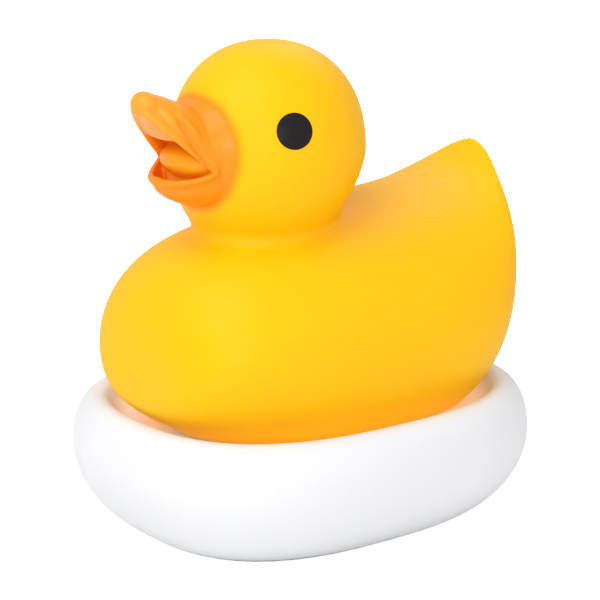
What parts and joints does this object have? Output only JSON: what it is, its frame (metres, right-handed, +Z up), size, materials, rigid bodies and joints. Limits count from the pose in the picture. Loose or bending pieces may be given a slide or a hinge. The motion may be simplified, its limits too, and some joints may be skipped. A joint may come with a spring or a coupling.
{
  "type": "floating chlorine dispenser",
  "caption": "Duck-shaped floating dispenser: a hollow duck lifts off an oval float with its slotted tablet basket, over a turning dosing dial underneath.",
  "frame": {"origin": "middle of the float's flat underside, at floor height", "axes": "+Z up; the duck faces -Y; +X is the duck's left side; the YZ plane is the mirror plane"},
  "size_m": [0.1748, 0.21, 0.2242],
  "materials": {
    "duck_vinyl": "soft satin vinyl, egg-yolk yellow",
    "bill_vinyl": "satin-gloss vinyl, orange",
    "eye_black": "smooth black, slightly domed",
    "float_white": "gloss white moulding",
    "inner_plastic": "fine matt off-white polypropylene",
    "basket_plastic": "natural polypropylene, chlorine resistant",
    "dial_plastic": "blue polypropylene, fine matt",
    "seal_rubber": "black EPDM rubber",
    "foam": "white closed-cell foam",
    "ballast_paint": "grey epoxy coat on steel",
    "stainless": "plain stainless steel"
  },
  "bodies": {
    "float": {"float_hull": "float_white", "float_pan": "float_white", "seam_gasket": "seal_rubber", "well_cup": "inner_plastic", "dosing_floor": "inner_plastic", "lock_ring": "inner_plastic", "well_seal": "seal_rubber", "well_gasket": "seal_rubber", "pan_screws": "stainless", "foam_lower": "foam", "foam_upper": "foam", "ballast_front": "ballast_paint", "ballast_rear_left": "ballast_paint", "ballast_rear_right": "ballast_paint", "tether_pin": "stainless", "dial_screw": "stainless", "dial_washer": "stainless", "lid_seal": "seal_rubber"},
    "duck": {"duck_shell": "duck_vinyl", "bill": "bill_vinyl", "eye_left": "eye_black", "eye_right": "eye_black", "lid_cup": "inner_plastic", "clamp_plate": "inner_plastic", "lid_screws": "stainless"},
    "basket": {"tablet_basket": "basket_plastic", "basket_grate": "basket_plastic"},
    "dial": {"dosing_dial": "dial_plastic"}
  },
  "joints": [
    {"name": "duck_lift", "type": "slide", "parent": "float", "child": "duck", "axis": [0, 0, 1], "range_m": [0, 0.1]},
    {"name": "basket_twist", "type": "hinge", "parent": "duck", "child": "basket", "pos_m": [0, 0, 0.09], "axis": [0, 0, 1], "range_deg": [-45, 0]},
    {"name": "dial_turn", "type": "hinge", "parent": "float", "child": "dial", "pos_m": [0, 0, 0.0043], "axis": [0, 0, 1], "range_deg": [0, 30]}
  ]
}
